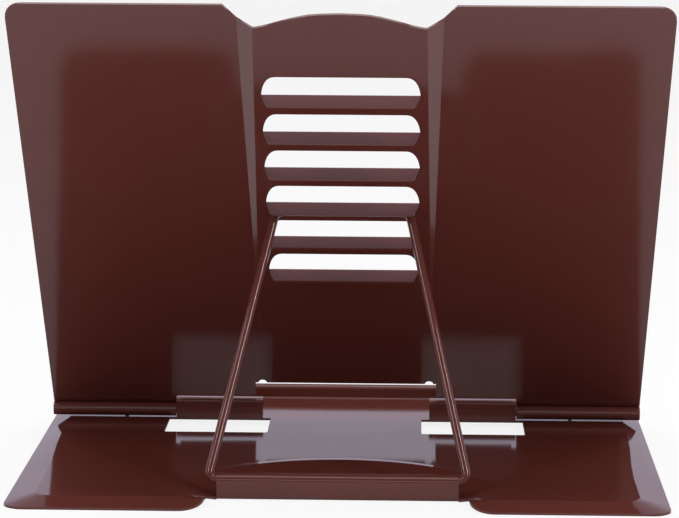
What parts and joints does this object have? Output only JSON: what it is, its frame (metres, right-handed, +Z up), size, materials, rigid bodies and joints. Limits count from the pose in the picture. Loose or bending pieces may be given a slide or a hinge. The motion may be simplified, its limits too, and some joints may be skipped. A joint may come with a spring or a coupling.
{
  "type": "reading stand",
  "caption": "Folding reading stand of enamelled sheet steel with a leaning panel, rest slots, a wire prop, a book ledge and sprung page clips.",
  "frame": {"origin": "on the table, under the middle of the base's outline", "axes": "+X to the reader's right, +Y away from the reader towards the prop, +Z up"},
  "size_m": [0.211, 0.1684, 0.1584],
  "materials": {
    "sheet_enamel": "glossy maroon-brown enamel on pressed sheet steel",
    "wire_enamel": "glossy maroon-brown enamel on steel wire",
    "tip_vinyl": "soft dark brown vinyl"
  },
  "bodies": {
    "base": {"base_plate": "sheet_enamel", "hinge_pin_left": "wire_enamel", "hinge_pin_right": "wire_enamel"},
    "panel": {"back_panel": "sheet_enamel"},
    "prop": {"prop_wire": "wire_enamel"},
    "clip_left": {"page_clip_left": "wire_enamel", "clip_tip_left": "tip_vinyl"},
    "clip_right": {"page_clip_right": "wire_enamel", "clip_tip_right": "tip_vinyl"}
  },
  "joints": [
    {"name": "panel_hinge", "type": "hinge", "parent": "base", "child": "panel", "pos_m": [0, -0.0458, 0.00555], "axis": [1, 0, 0], "range_deg": [0, 112]},
    {"name": "prop_swing", "type": "hinge", "parent": "base", "child": "prop", "pos_m": [0, 0.0659, 0.00585], "axis": [1, 0, 0], "range_deg": [0, 58.5]},
    {"name": "clip_left_swing", "type": "hinge", "parent": "base", "child": "clip_left", "pos_m": [0.072, -0.0824, 0.006], "axis": [1, 0, 0], "range_deg": [0, 126]},
    {"name": "clip_right_swing", "type": "hinge", "parent": "base", "child": "clip_right", "pos_m": [-0.072, -0.0824, 0.006], "axis": [1, 0, 0], "range_deg": [0, 126]}
  ],
  "couplings": [
    {"joint": "prop_swing", "follows": "panel_hinge", "ratio": 0.522},
    {"joint": "clip_left_swing", "follows": "panel_hinge", "ratio": 1.12},
    {"joint": "clip_right_swing", "follows": "panel_hinge", "ratio": 1.12}
  ]
}
